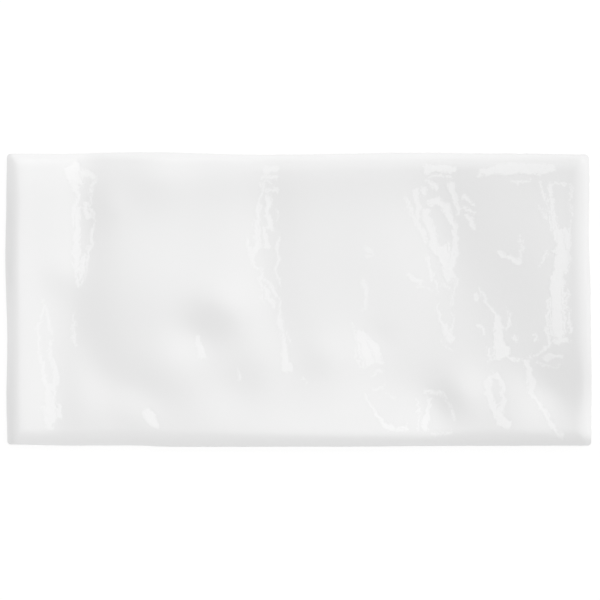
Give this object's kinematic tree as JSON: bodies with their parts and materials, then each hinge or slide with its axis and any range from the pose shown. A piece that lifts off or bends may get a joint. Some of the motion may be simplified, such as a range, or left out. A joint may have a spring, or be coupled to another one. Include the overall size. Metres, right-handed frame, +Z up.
{
  "type": "glazed wall tile",
  "caption": "Rectangular glazed ceramic wall tile with a softly waved glossy face, rolled irregular edges and a keyed unglazed back that is bedded on a wall.",
  "frame": {"origin": "centre of the back, on the plane that the tile rests on", "axes": "+X along the length, +Y across the width, +Z up out of the glazed face"},
  "size_m": [0.15, 0.0754, 0.0095],
  "materials": {
    "white_glaze": "gloss white glaze on the face and sides, bare fired body on the back"
  },
  "bodies": {
    "root": {"tile": "white_glaze"}
  },
  "joints": []
}
